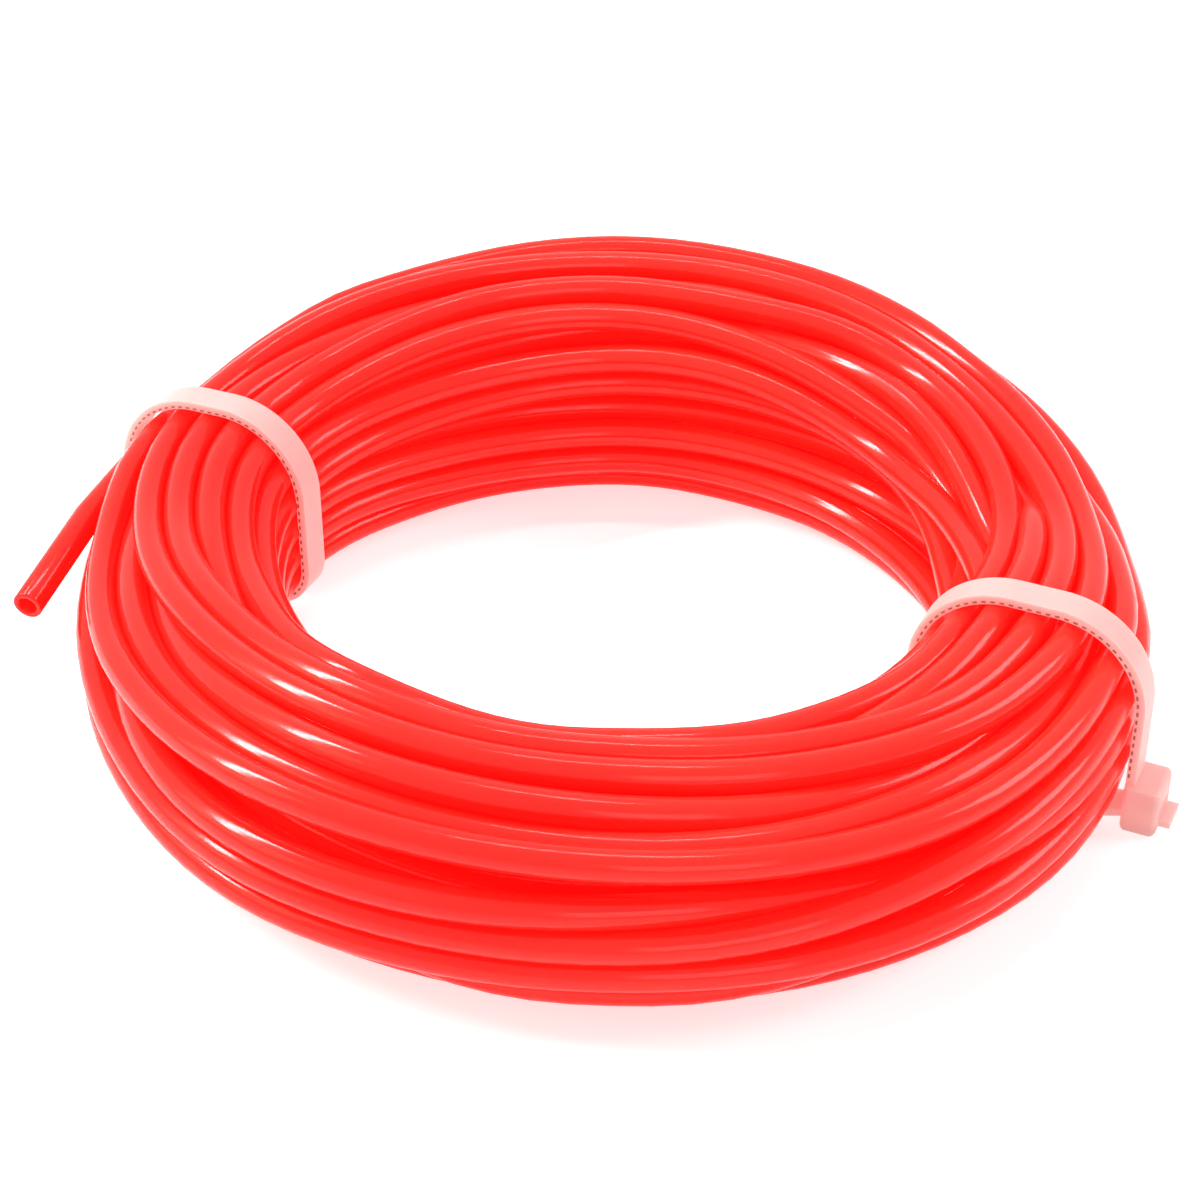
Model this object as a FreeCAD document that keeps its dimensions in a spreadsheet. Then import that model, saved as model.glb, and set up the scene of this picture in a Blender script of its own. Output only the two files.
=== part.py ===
"""Coiled air hose: a plastic tube wound in a ring, held by two cable ties.

Frame: +Z up, the ring lies on z = 0, and the origin is the middle of the footprint.
A bearing is an angle about +Z, in degrees, counted from +X towards +Y.
"""
import FreeCAD, Part
import math
import os
import Sketcher

DOC = FreeCAD.newDocument("coiled_air_hose")

# ---------------------------------------------------------------- driving sizes (mm, degrees)

SIZES = {
    # hose: a 4 x 2.5 mm tube
    "hose_diameter": 4.0,
    "hose_bore": 2.5,
    # ring centre, seen from the middle of the footprint
    "ring_x": 3.75,
    "ring_y": -5.7,
    # cable tie strap and the gap that its inner teeth fill
    "strap_width": 4.5,
    "strap_thick": 1.2,
    "strap_gap": 0.2,
    # the bundle of turns where each tie grips it
    "left_bearing": 157.0,
    "left_radius": 59.5,
    "left_width": 26.0,
    "left_top": 28.2,
    "right_bearing": -25.0,
    "right_radius": 56.6,
    "right_width": 27.6,
    "right_top": 27.4,
    "tie_low_corner": 5.0,
    "tie_high_corner": 11.0,
    "tie_straight": 3.5,
    # ratchet head of a tie
    "head_width": 6.4,
    "head_depth": 4.6,
    "head_height": 6.4,
    "head_corner": 0.8,
    "window_width": 4.9,
    "window_low": 1.1,
    "window_high": 3.6,
    "tongue_gap": 0.15,
    "tongue_thick": 0.9,
    "tongue_stub": 1.5,
    "tooth_pitch": 1.1,
    "tooth_depth": 0.35,
    # pawl inside the head
    "pawl_width": 3.7,
    "pawl_root": 0.45,
    "pawl_root_in": 0.85,
    "pawl_reach": 2.9,
    "pawl_gap": 0.05,
    "pawl_thick": 0.6,
}

# Outer shape of the ring between the ties: bearing, inner radius, outer radius, top height, and
# the radii of the section's low and high corners. Each tie adds two stations of its own, a few
# degrees apart, so that the ring is even under its strap.
SPANS = {
    "right": (0.0, 43.0, 68.8, 26.4, 9.0, 12.3),
    "right_back": (30.0, 42.4, 70.6, 29.6, 8.5, 12.6),
    "back_right": (60.0, 42.8, 74.4, 32.9, 9.0, 11.6),
    "back": (90.0, 44.4, 74.3, 34.6, 9.5, 11.4),
    "back_left": (125.0, 44.5, 71.5, 34.0, 9.5, 12.4),
    "behind_free_end": (180.0, 42.5, 70.5, 25.8, 9.2, 12.0),
    "left_front": (205.0, 41.9, 69.8, 26.8, 9.2, 11.2),
    "front_left": (235.0, 41.4, 71.5, 27.9, 10.8, 10.8),
    "front": (265.0, 41.8, 71.5, 27.4, 10.5, 11.0),
    "front_right": (295.0, 42.1, 72.6, 26.4, 9.8, 11.2),
    "right_front": (318.0, 41.8, 72.0, 25.8, 9.2, 11.4),
}

# Centre line of each stretch that leaves the ring, from inside the ring to the cut end, as it
# lies about the ring's own centre.
FREE_END_ROUTE = [(-61.9, 32.2, 20.6), (-70.8, 13.4, 18.9), (-76.2, -6.6, 15.2)]
START_END_ROUTE = [(-38.5, 56.0, 7.5), (-20.0, 70.4, 3.2), (0.6, 78.6, 2.0), (22.6, 81.0, 2.0)]

SECTION_STEP = 6.0          # degrees between the sections of the ring
ARC_SHARE = 0.45            # share of the shorter run that a bend of a route takes
BENCH_CUT = 0.5             # how far the ring's underside is pressed flat by the bench


def make_sheet():
    """The spreadsheet that every sub-part reads its sizes from."""
    sheet = DOC.addObject("Spreadsheet::Sheet", "Sizes")
    for row, (name, value) in enumerate(SIZES.items(), start=1):
        sheet.set(f"A{row}", name)
        sheet.set(f"B{row}", str(value))
        sheet.setAlias(f"B{row}", name)
    DOC.recompute()
    return sheet


SHEET = make_sheet()


def size(name):
    """A driving size, read from the sheet."""
    return float(getattr(SHEET, name))


# ---------------------------------------------------------------- sketches

def origin_plane(body, role):
    """One of a body's own origin planes."""
    return next(item for item in body.Origin.OriginFeatures if item.Role == role)


def new_sketch(body, name, role="XZ_Plane"):
    """A sketch on one of the body's own origin planes."""
    sketch = body.newObject("Sketcher::SketchObject", name)
    sketch.AttachmentSupport = [(origin_plane(body, role), "")]
    sketch.MapMode = "FlatFace"
    return sketch


def bind(sketch, kind, *where, to):
    """Adds a dimension to a sketch and binds it to an expression of the sheet."""
    value = float(sketch.evalExpression(to))
    index = sketch.addConstraint(Sketcher.Constraint(kind, *where, value))
    sketch.setExpression(f"Constraints[{index}]", to)


def place_point(sketch, edge, end, across, up):
    """Binds a point of an edge to two expressions."""
    bind(sketch, "DistanceX", -1, 1, edge, end, to=across)
    bind(sketch, "DistanceY", -1, 1, edge, end, to=up)


def polygon(sketch, corners):
    """A closed outline of straight edges, each corner given by two expressions."""
    points = [FreeCAD.Vector(*(float(sketch.evalExpression(text)) for text in pair), 0)
              for pair in corners]
    edges = [sketch.addGeometry(Part.LineSegment(here, points[(i + 1) % len(points)]))
             for i, here in enumerate(points)]
    for i, edge in enumerate(edges):
        sketch.addConstraint(Sketcher.Constraint("Coincident", edges[i - 1], 2, edge, 1))
        place_point(sketch, edge, 1, *corners[i])


def rounded_outline(sketch, half, low, high, low_corner, high_corner):
    """A closed outline, mirror symmetric about the upright axis, with round corners."""
    a, z0, z1, r0, r1 = (float(sketch.evalExpression(text))
                         for text in (half, low, high, low_corner, high_corner))
    vec = FreeCAD.Vector
    normal = vec(0, 0, 1)
    corners = [(a - r0, z0 + r0, r0, -90), (a - r1, z1 - r1, r1, 0),
               (r1 - a, z1 - r1, r1, 90), (r0 - a, z0 + r0, r0, 180)]
    arcs = [sketch.addGeometry(Part.ArcOfCircle(Part.Circle(vec(x, z, 0), normal, r),
                                                math.radians(turn), math.radians(turn + 90)))
            for x, z, r, turn in corners]
    ends = [(vec(a, z0 + r0, 0), vec(a, z1 - r1, 0)), (vec(a - r1, z1, 0), vec(r1 - a, z1, 0)),
            (vec(-a, z1 - r1, 0), vec(-a, z0 + r0, 0)), (vec(r0 - a, z0, 0), vec(a - r0, z0, 0))]
    lines = [sketch.addGeometry(Part.LineSegment(*pair)) for pair in ends]
    for i in range(4):
        sketch.addConstraint(Sketcher.Constraint("Tangent", arcs[i], 2, lines[i], 1))
        sketch.addConstraint(Sketcher.Constraint("Tangent", lines[i], 2, arcs[(i + 1) % 4], 1))
    for line, way in zip(lines, ("Vertical", "Horizontal", "Vertical", "Horizontal")):
        sketch.addConstraint(Sketcher.Constraint(way, line))
    for arc, radius in zip(arcs, (low_corner, high_corner, high_corner, low_corner)):
        bind(sketch, "Radius", arc, to=radius)
    bind(sketch, "DistanceX", -1, 1, lines[0], 1, to=half)
    bind(sketch, "DistanceX", lines[2], 1, -1, 1, to=half)
    bind(sketch, "DistanceY", -1, 1, lines[1], 1, to=high)
    bind(sketch, "DistanceY", -1, 1, lines[3], 1, to=low)


def pad(body, sketch, name, length):
    """A pad that is as deep on both sides of its sketch."""
    DOC.recompute()
    feature = body.newObject("PartDesign::Pad", name)
    feature.Profile = sketch
    feature.SideType = "Symmetric"
    feature.setExpression("Length", length)
    DOC.recompute()
    return feature


def pocket(body, sketch, name, length):
    """A pocket as deep on both sides of its sketch, checked to have cut something."""
    DOC.recompute()
    before = body.Shape.Volume
    feature = body.newObject("PartDesign::Pocket", name)
    feature.Profile = sketch
    feature.SideType = "Symmetric"
    feature.setExpression("Length", length)
    DOC.recompute()
    if body.Shape.Volume > before - 1e-6:
        raise ValueError(f"{name} cuts nothing")
    return feature


# ---------------------------------------------------------------- cable ties

def tie_words(side):
    """Expressions in a tie's own frame: x out of the ring, z up from the bench."""
    words = {
        "inner_half": f"(Sizes.{side}_width / 2 + Sizes.strap_gap)",
        "outer_half": f"(Sizes.{side}_width / 2 + Sizes.strap_gap + Sizes.strap_thick)",
        "inner_top": f"(Sizes.{side}_top + Sizes.strap_gap)",
        "outer_top": f"(Sizes.{side}_top + Sizes.strap_gap + Sizes.strap_thick)",
        "tongue_low": "(Sizes.window_low + Sizes.tongue_gap)",
    }
    words["head_in"] = words["inner_half"]
    words["head_out"] = f"({words['head_in']} + Sizes.head_depth)"
    words["mouth_in"] = f"({words['inner_half']} - Sizes.tie_low_corner - Sizes.strap_gap)"
    words["tongue_high"] = f"({words['tongue_low']} + Sizes.tongue_thick)"
    words["tongue_out"] = f"({words['head_out']} + Sizes.tongue_stub)"
    words["root_across"] = f"({words['head_in']} + Sizes.pawl_root_in)"
    words["root_up"] = "(Sizes.window_high - Sizes.pawl_gap - Sizes.pawl_root)"
    return words


def tie_placement(side):
    """Where a tie stands: across the ring at its bearing."""
    bearing = size(f"{side}_bearing")
    reach = size(f"{side}_radius")
    spot = FreeCAD.Vector(size("ring_x") + reach * math.cos(math.radians(bearing)),
                          size("ring_y") + reach * math.sin(math.radians(bearing)), 0)
    return FreeCAD.Placement(spot, FreeCAD.Rotation(FreeCAD.Vector(0, 0, 1), bearing))


def build_tie(side):
    """One moulded cable tie: the strap's loop, the head and the toothed tongue through it."""
    words = tie_words(side)
    body = DOC.addObject("PartDesign::Body", f"{side}_tie")
    body.Label = f"{side}_tie"

    outside = new_sketch(body, f"{side}_loop_outside")
    rounded_outline(outside, words["outer_half"], "0 * Sizes.strap_gap", words["outer_top"],
                    "(Sizes.tie_low_corner + Sizes.strap_gap + Sizes.strap_thick)",
                    "(Sizes.tie_high_corner + Sizes.strap_gap + Sizes.strap_thick)")
    pad(body, outside, f"{side}_loop", "Sizes.strap_width")

    inside = new_sketch(body, f"{side}_loop_inside")
    rounded_outline(inside, words["inner_half"], "Sizes.strap_thick", words["inner_top"],
                    "(Sizes.tie_low_corner + Sizes.strap_gap)",
                    "(Sizes.tie_high_corner + Sizes.strap_gap)")
    pocket(body, inside, f"{side}_loop_opening", "Sizes.strap_width * 2")

    mouth = new_sketch(body, f"{side}_mouth_outline")
    polygon(mouth, [(words["mouth_in"], "-Sizes.strap_thick"),
                    (words["head_out"], "-Sizes.strap_thick"),
                    (words["head_out"], "Sizes.head_height - Sizes.strap_thick"),
                    (words["mouth_in"], "Sizes.head_height - Sizes.strap_thick")])
    pocket(body, mouth, f"{side}_mouth", "Sizes.strap_width * 2")

    head = new_sketch(body, f"{side}_head_outline")
    polygon(head, [(words["head_in"], "0 * Sizes.strap_gap"),
                   (words["head_out"], "0 * Sizes.strap_gap"),
                   (words["head_out"], "Sizes.head_height"),
                   (words["head_in"], "Sizes.head_height")])
    block = pad(body, head, f"{side}_head", "Sizes.head_width")
    round_head(body, block, side)

    window = new_sketch(body, f"{side}_window_outline")
    polygon(window, [(f"{words['head_in']} - Sizes.strap_thick", "Sizes.window_low"),
                     (f"{words['head_out']} + Sizes.strap_thick", "Sizes.window_low"),
                     (f"{words['head_out']} + Sizes.strap_thick", "Sizes.window_high"),
                     (f"{words['head_in']} - Sizes.strap_thick", "Sizes.window_high")])
    pocket(body, window, f"{side}_window", "Sizes.window_width")

    tongue = new_sketch(body, f"{side}_tongue_outline")
    polygon(tongue, [(f"{words['mouth_in']} - Sizes.strap_gap", "0 * Sizes.strap_gap"),
                     (f"{words['mouth_in']} + Sizes.strap_thick", "0 * Sizes.strap_gap"),
                     (f"{words['head_in']} - Sizes.strap_gap", words["tongue_low"]),
                     (words["tongue_out"], words["tongue_low"]),
                     (words["tongue_out"], words["tongue_high"]),
                     (f"{words['head_in']} - Sizes.strap_gap", words["tongue_high"]),
                     (words["mouth_in"], "Sizes.strap_thick"),
                     (f"{words['mouth_in']} - Sizes.strap_gap", "Sizes.strap_thick")])
    pad(body, tongue, f"{side}_tongue", "Sizes.strap_width")
    cut_teeth(body, side, words)
    body.Placement = tie_placement(side)
    return body


def round_head(body, block, side):
    """Rounds the upright and outer edges of a head."""
    half = size("head_width") / 2
    outer = size(f"{side}_width") / 2 + size("strap_gap") + size("head_depth")
    chosen = []
    for index, edge in enumerate(block.Shape.Edges, start=1):
        ends = [vertex.Point for vertex in edge.Vertexes]
        if len(ends) < 2:
            continue
        on_side = all(abs(abs(point.y) - half) < 1e-4 for point in ends)
        at_outer = all(abs(point.x - outer) < 1e-4 for point in ends)
        upright = on_side and abs(ends[0].x - ends[1].x) < 1e-4
        if (on_side and at_outer) or upright:
            chosen.append(f"Edge{index}")
    fillet = body.newObject("PartDesign::Fillet", f"{side}_head_rounding")
    fillet.Base = (block, chosen)
    fillet.setExpression("Radius", "Sizes.head_corner")
    DOC.recompute()


def cut_teeth(body, side, words):
    """The rack on the tongue's upper face, which the pawl drops into."""
    tooth = new_sketch(body, f"{side}_tooth_outline")
    start = f"({words['head_in']} + Sizes.tooth_pitch * 0.5)"
    polygon(tooth, [(start, words["tongue_high"]),
                    (f"{start} + Sizes.tooth_pitch * 0.7", words["tongue_high"]),
                    (start, f"{words['tongue_high']} + Sizes.tooth_depth")])
    first = pad(body, tooth, f"{side}_tooth", "Sizes.strap_width * 0.8")
    rack = body.newObject("PartDesign::LinearPattern", f"{side}_rack")
    rack.Originals = [first]
    rack.Direction = (tooth, ["H_Axis"])
    rack.Mode = "Spacing"
    rack.Occurrences = 4
    rack.setExpression("Offset", "Sizes.tooth_pitch")
    body.Tip = rack
    DOC.recompute()


def build_pawl(side):
    """The sprung tooth bar that hangs in the window and locks the rack."""
    words = tie_words(side)
    body = DOC.addObject("PartDesign::Body", f"{side}_tie_pawl")
    body.Label = f"{side}_tie_pawl"
    root = new_sketch(body, f"{side}_pawl_root_outline")
    across = float(root.evalExpression(words["root_across"]))
    up = float(root.evalExpression(words["root_up"]))
    ring = root.addGeometry(Part.Circle(FreeCAD.Vector(across, up, 0), FreeCAD.Vector(0, 0, 1),
                                        size("pawl_root")))
    bind(root, "Radius", ring, to="Sizes.pawl_root")
    place_point(root, ring, 3, words["root_across"], words["root_up"])
    pad(body, root, f"{side}_pawl_root", "Sizes.pawl_width")

    bar = new_sketch(body, f"{side}_pawl_bar_outline")
    tip = f"({words['root_across']} + Sizes.pawl_reach)"
    low = f"({words['tongue_high']} + Sizes.tooth_depth + Sizes.pawl_gap)"
    high = f"({low} + Sizes.pawl_thick)"
    polygon(bar, [(words["root_across"], f"{words['root_up']} - Sizes.pawl_root"),
                  (f"{words['root_across']} + Sizes.pawl_root", low),
                  (tip, low), (tip, f"{high} - Sizes.pawl_thick / 4"),
                  (words["root_across"], f"{words['root_up']} + Sizes.pawl_root")])
    pad(body, bar, f"{side}_pawl_bar", "Sizes.pawl_width")
    pawl_teeth(body, side, words, low)
    body.Placement = tie_placement(side)
    return body


def pawl_teeth(body, side, words, low):
    """The teeth under the pawl, in the valleys of the tongue's rack."""
    tooth = new_sketch(body, f"{side}_pawl_tooth_outline")
    face = f"({words['head_in']} + Sizes.tooth_pitch * 2.26)"
    polygon(tooth, [(face, low), (f"{face} - Sizes.tooth_pitch * 0.34", low),
                    (face, f"{words['tongue_high']} + Sizes.pawl_gap")])
    first = pad(body, tooth, f"{side}_pawl_tooth", "Sizes.pawl_width * 0.8")
    comb = body.newObject("PartDesign::LinearPattern", f"{side}_pawl_comb")
    comb.Originals = [first]
    comb.Direction = (tooth, ["H_Axis"])
    comb.Mode = "Spacing"
    comb.Occurrences = 2
    comb.setExpression("Offset", "Sizes.tooth_pitch")
    body.Tip = comb
    DOC.recompute()


# ---------------------------------------------------------------- the ring of turns

def ring_stations():
    """Bearing, inner and outer radius, low and high edge and corner radii, round the ring."""
    stations = []
    for side in ("left", "right"):
        reach, half = size(f"{side}_radius"), size(f"{side}_width") / 2
        low = size("strap_thick") + size("strap_gap")
        for turn in (-size("tie_straight"), size("tie_straight")):
            stations.append(((size(f"{side}_bearing") + turn) % 360, reach - half, reach + half,
                             low, size(f"{side}_top"), size("tie_low_corner"),
                             size("tie_high_corner")))
    for bearing, inner, outer, top, low_corner, high_corner in SPANS.values():
        stations.append((bearing, inner, outer, -BENCH_CUT, top, low_corner, high_corner))
    return sorted(stations)


def ring_section(stations, bearing):
    """The section's sizes at a bearing: eased from one station to the next."""
    count = len(stations)
    for i in range(count):
        here, after = stations[i], stations[(i + 1) % count]
        span = (after[0] - here[0]) % 360
        gone = (bearing - here[0]) % 360
        if gone <= span:
            ease = (1 - math.cos(math.pi * gone / span)) / 2
            return [a + (b - a) * ease for a, b in zip(here[1:], after[1:])]
    raise ValueError("no stations")


def ring_wire(stations, bearing):
    """The closed outline of the ring's section at a bearing, in place."""
    inner, outer, low, high, r0, r1 = ring_section(stations, bearing)
    turn = math.radians(bearing)
    across = FreeCAD.Vector(math.cos(turn), math.sin(turn), 0)

    def spot(radius, height):
        return across * radius + FreeCAD.Vector(0, 0, height)

    diagonal = 1 - math.sqrt(0.5)
    corners = [
        (spot(outer - r0, low), spot(outer - r0 * diagonal, low + r0 * diagonal),
         spot(outer, low + r0)),
        (spot(outer, high - r1), spot(outer - r1 * diagonal, high - r1 * diagonal),
         spot(outer - r1, high)),
        (spot(inner + r1, high), spot(inner + r1 * diagonal, high - r1 * diagonal),
         spot(inner, high - r1)),
        (spot(inner, low + r0), spot(inner + r0 * diagonal, low + r0 * diagonal),
         spot(inner + r0, low)),
    ]
    edges = []
    for i, corner in enumerate(corners):
        edges.append(Part.Arc(*corner).toShape())
        edges.append(Part.LineSegment(corner[2], corners[(i + 1) % 4][0]).toShape())
    return Part.Wire(edges)


def ring_half(stations, start, end):
    """The ring's solid between the bearings of two ties."""
    straight = size("tie_straight")
    first, last = start + straight, end - straight
    steps = max(2, round((last - first) / SECTION_STEP))
    bearings = [first + (last - first) * i / steps for i in range(steps + 1)]
    even = [start, start + straight / 2], [end - straight / 2, end]
    wires = [ring_wire(stations, bearing) for bearing in (*even[0], *bearings, *even[1])]
    return Part.makeLoft(wires, True, False, False)


def build_coil():
    """The closed outer shape of all the turns, flat where it lies on the bench."""
    stations = ring_stations()
    right, left = size("right_bearing"), size("left_bearing")
    solid = ring_half(stations, right, left).fuse(ring_half(stations, left, right + 360))
    reach = 2 * max(station[2] for station in stations)
    bench = Part.makeBox(2 * reach, 2 * reach, reach, FreeCAD.Vector(-reach, -reach, -reach))
    coil = DOC.addObject("Part::Feature", "hose_coil")
    coil.Label = "hose_coil"
    shape = solid.cut(bench)
    coil.Shape = shape
    coil.Placement = ring_placement()
    return coil


def ring_placement():
    """The ring's centre in the frame of the part."""
    return FreeCAD.Placement(FreeCAD.Vector(size("ring_x"), size("ring_y"), 0),
                             FreeCAD.Rotation())


# ---------------------------------------------------------------- the ends that leave the ring

def route_wire(label, route):
    """Straight runs joined by tangent arcs, as large as the shorter run allows."""
    points = [FreeCAD.Vector(*point) for point in route]
    edges, here, radii = [], points[0], []
    for before, corner, after in zip(points, points[1:], points[2:]):
        inward, outward = corner - before, after - corner
        tangent = ARC_SHARE * min(inward.Length, outward.Length)
        half_turn = inward.getAngle(outward) / 2
        radii.append(tangent / math.tan(half_turn))
        entry = corner - FreeCAD.Vector(inward).normalize() * tangent
        leave = corner + FreeCAD.Vector(outward).normalize() * tangent
        to_middle = FreeCAD.Vector(entry + leave) * 0.5 - corner
        centre_off = math.hypot(radii[-1], tangent)
        middle = corner + to_middle.normalize() * (centre_off - radii[-1])
        edges += [Part.LineSegment(here, entry).toShape(), Part.Arc(entry, middle, leave).toShape()]
        here = leave
    edges.append(Part.LineSegment(here, points[-1]).toShape())
    print(label, "bend radii mm", [round(radius, 1) for radius in radii])
    return Part.Wire(edges)


def swept_disc(wire, radius):
    """A round bar of one radius along a wire."""
    start = wire.Edges[0]
    heading = start.tangentAt(start.FirstParameter)
    ring = Part.Wire(Part.makeCircle(radius, start.Vertexes[0].Point, heading))
    return wire.makePipeShell([ring], True, True)


def build_end(label, route, coil):
    """One end of the hose: a tube along its route, from the ring's outside to the cut."""
    wire = route_wire(label, route)
    outside = swept_disc(wire, size("hose_diameter") / 2)
    inside = swept_disc(wire, size("hose_bore") / 2)
    expected = math.pi * (size("hose_diameter") ** 2 - size("hose_bore") ** 2) / 4 * wire.Length
    tube = outside.cut(inside)
    if abs(tube.Volume - expected) > 0.01 * expected:
        raise ValueError(f"{label} has a volume of {tube.Volume:.1f}, not {expected:.1f}")
    tube.Placement = ring_placement()
    end = DOC.addObject("Part::Feature", label)
    end.Label = label
    end.Shape = tube.cut(coil.Shape)
    print(label, "length mm", round(end.Shape.Volume / expected * wire.Length, 1))
    return end


# ---------------------------------------------------------------- checks and files

def check(parts):
    """Stops on any failed object or bad shape."""
    for item in DOC.Objects:
        bad = {"Invalid", "Error"} & set(item.State)
        if bad:
            raise ValueError(f"{item.Label} is {bad}")
    for part in parts:
        if part.Shape.isNull() or not part.Shape.isValid():
            raise ValueError(f"{part.Label} has a bad shape")
        if len(part.Shape.Solids) != 1:
            raise ValueError(f"{part.Label} is {len(part.Shape.Solids)} solids")


def report(parts):
    """Prints each sub-part's volume and box, and the box of the whole."""
    whole = FreeCAD.BoundBox()
    for part in parts:
        box = part.Shape.BoundBox
        whole.add(box)
        print(f"{part.Label:16s} volume {part.Shape.Volume:10.2f}  box "
              f"{box.XMin:7.2f} {box.YMin:7.2f} {box.ZMin:6.2f} {box.XMax:7.2f} "
              f"{box.YMax:7.2f} {box.ZMax:6.2f}")
    print("whole", whole)


def main():
    coil = build_coil()
    parts = [
        coil,
        build_end("hose_free_end", FREE_END_ROUTE, coil),
        build_end("hose_start_end", START_END_ROUTE, coil),
    ]
    for side in ("left", "right"):
        parts += [build_tie(side), build_pawl(side)]
    DOC.recompute()
    check(parts)
    report(parts)
    os.makedirs("parts", exist_ok=True)
    for part in parts:
        part.Shape.exportStep(f"parts/{part.Label}.step")


main()
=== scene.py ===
"""Looks of the coiled air hose: the wound hose, its two cable ties and the studio round them.

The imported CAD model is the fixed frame. Everything is in metres in that frame, apart from the
layout of the turns, which is worked out in millimetres about the ring's own centre.
"""
import logging
import math
from dataclasses import dataclass, field
from enum import Enum

import bpy
import numpy as np
from mathutils import Matrix, Vector


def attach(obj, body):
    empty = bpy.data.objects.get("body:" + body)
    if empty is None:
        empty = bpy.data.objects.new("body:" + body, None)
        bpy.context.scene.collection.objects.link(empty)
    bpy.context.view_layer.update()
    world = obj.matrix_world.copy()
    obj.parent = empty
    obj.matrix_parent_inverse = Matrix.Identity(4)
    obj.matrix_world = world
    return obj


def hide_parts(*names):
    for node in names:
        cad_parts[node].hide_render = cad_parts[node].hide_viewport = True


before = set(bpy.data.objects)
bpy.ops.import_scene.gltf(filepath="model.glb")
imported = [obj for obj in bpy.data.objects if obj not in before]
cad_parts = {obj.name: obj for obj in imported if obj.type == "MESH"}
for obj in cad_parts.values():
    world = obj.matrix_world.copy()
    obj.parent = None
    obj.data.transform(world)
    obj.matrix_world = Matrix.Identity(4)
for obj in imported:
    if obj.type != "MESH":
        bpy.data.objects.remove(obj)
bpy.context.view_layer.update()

LOG = logging.getLogger("coiled_air_hose")
MM = 0.001
RING_CENTRE = (3.75, -5.7)
FULL_TURN = 360.0
LEFT_TIE = (157.0, 59.5, 26.0, 28.2)
RIGHT_TIE = (-25.0, 56.6, 27.6, 27.4)
FAR_AWAY = 500.0
PARKED = 900.0
PARKING_STEP = 50.0
LEAST_GAP = 0.2
TINY = 1e-9


class Slot(Enum):
    """The record's material slots."""

    HOSE = "hose"
    TIE = "tie"


# ---------------------------------------------------------------- shader helpers

def new_material(name: str) -> tuple[bpy.types.Material, bpy.types.Node]:
    """An empty node material and its Principled shader.

    Args:
        name: The material's name.

    Returns:
        The material and its Principled BSDF node, joined to the output.
    """
    material = bpy.data.materials.new(name)
    material.use_nodes = True
    tree = material.node_tree
    tree.nodes.clear()
    output = tree.nodes.new("ShaderNodeOutputMaterial")
    shader = tree.nodes.new("ShaderNodeBsdfPrincipled")
    tree.links.new(shader.outputs["BSDF"], output.inputs["Surface"])
    return material, shader


def mix_colours(tree: bpy.types.NodeTree, share: bpy.types.NodeSocket, low: tuple, high: tuple
                ) -> bpy.types.NodeSocket:
    """A blend of two plain colours by a share from 0 to 1.

    Args:
        tree: The node tree that gets the mix.
        share: The socket that gives the share of the second colour.
        low: The first colour.
        high: The second colour.

    Returns:
        The socket with the blended colour.
    """
    mix = tree.nodes.new("ShaderNodeMix")
    mix.data_type = "RGBA"
    mix.inputs["A"].default_value = (*low, 1.0)
    mix.inputs["B"].default_value = (*high, 1.0)
    tree.links.new(share, mix.inputs["Factor"])
    return mix.outputs["Result"]


def grain_group(bump_depth: float = 0.0001) -> bpy.types.NodeTree:
    """A group that gives slow blotches and fine moulding or extrusion grain on Object coordinates.

    Args:
        bump_depth: The grain's height in metres.

    Returns:
        The node group, with inputs for its two scales and outputs Blotch, Grain and Normal.
    """
    group = bpy.data.node_groups.new("plastic_grain", "ShaderNodeTree")
    for name, value in (("Blotch Scale", 60.0), ("Grain Scale", 900.0), ("Bump", 0.1)):
        socket = group.interface.new_socket(name, in_out="INPUT", socket_type="NodeSocketFloat")
        socket.default_value = value
    for name, kind in (("Blotch", "NodeSocketFloat"), ("Grain", "NodeSocketFloat"),
                       ("Normal", "NodeSocketVector")):
        group.interface.new_socket(name, in_out="OUTPUT", socket_type=kind)
    given = group.nodes.new("NodeGroupInput")
    result = group.nodes.new("NodeGroupOutput")
    place = group.nodes.new("ShaderNodeTexCoord")
    for name, detail in (("Blotch", 2.0), ("Grain", 4.0)):
        noise = group.nodes.new("ShaderNodeTexNoise")
        noise.inputs["Detail"].default_value = detail
        group.links.new(place.outputs["Object"], noise.inputs["Vector"])
        group.links.new(given.outputs[f"{name} Scale"], noise.inputs["Scale"])
        group.links.new(noise.outputs["Fac"], result.inputs[name])
    bump = group.nodes.new("ShaderNodeBump")
    bump.inputs["Distance"].default_value = bump_depth
    group.links.new(given.outputs["Bump"], bump.inputs["Strength"])
    group.links.new(noise.outputs["Fac"], bump.inputs["Height"])
    group.links.new(bump.outputs["Normal"], result.inputs["Normal"])
    return group


def add_grain(tree: bpy.types.NodeTree, group: bpy.types.NodeTree, blotch: float, grain: float,
              bump: float) -> bpy.types.Node:
    """Puts the grain group in a material.

    Args:
        tree: The material's node tree.
        group: The grain group.
        blotch: Scale of the slow blotches.
        grain: Scale of the fine grain.
        bump: Strength of the grain's bump.

    Returns:
        The group's node.
    """
    node = tree.nodes.new("ShaderNodeGroup")
    node.node_tree = group
    node.inputs["Blotch Scale"].default_value = blotch
    node.inputs["Grain Scale"].default_value = grain
    node.inputs["Bump"].default_value = bump
    return node


def set_inputs(shader: bpy.types.Node, values: dict) -> None:
    """Writes constants on a shader's own sockets.

    Args:
        shader: The shader node.
        values: A constant for each socket's name.
    """
    for name, value in values.items():
        shader.inputs[name].default_value = value


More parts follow.
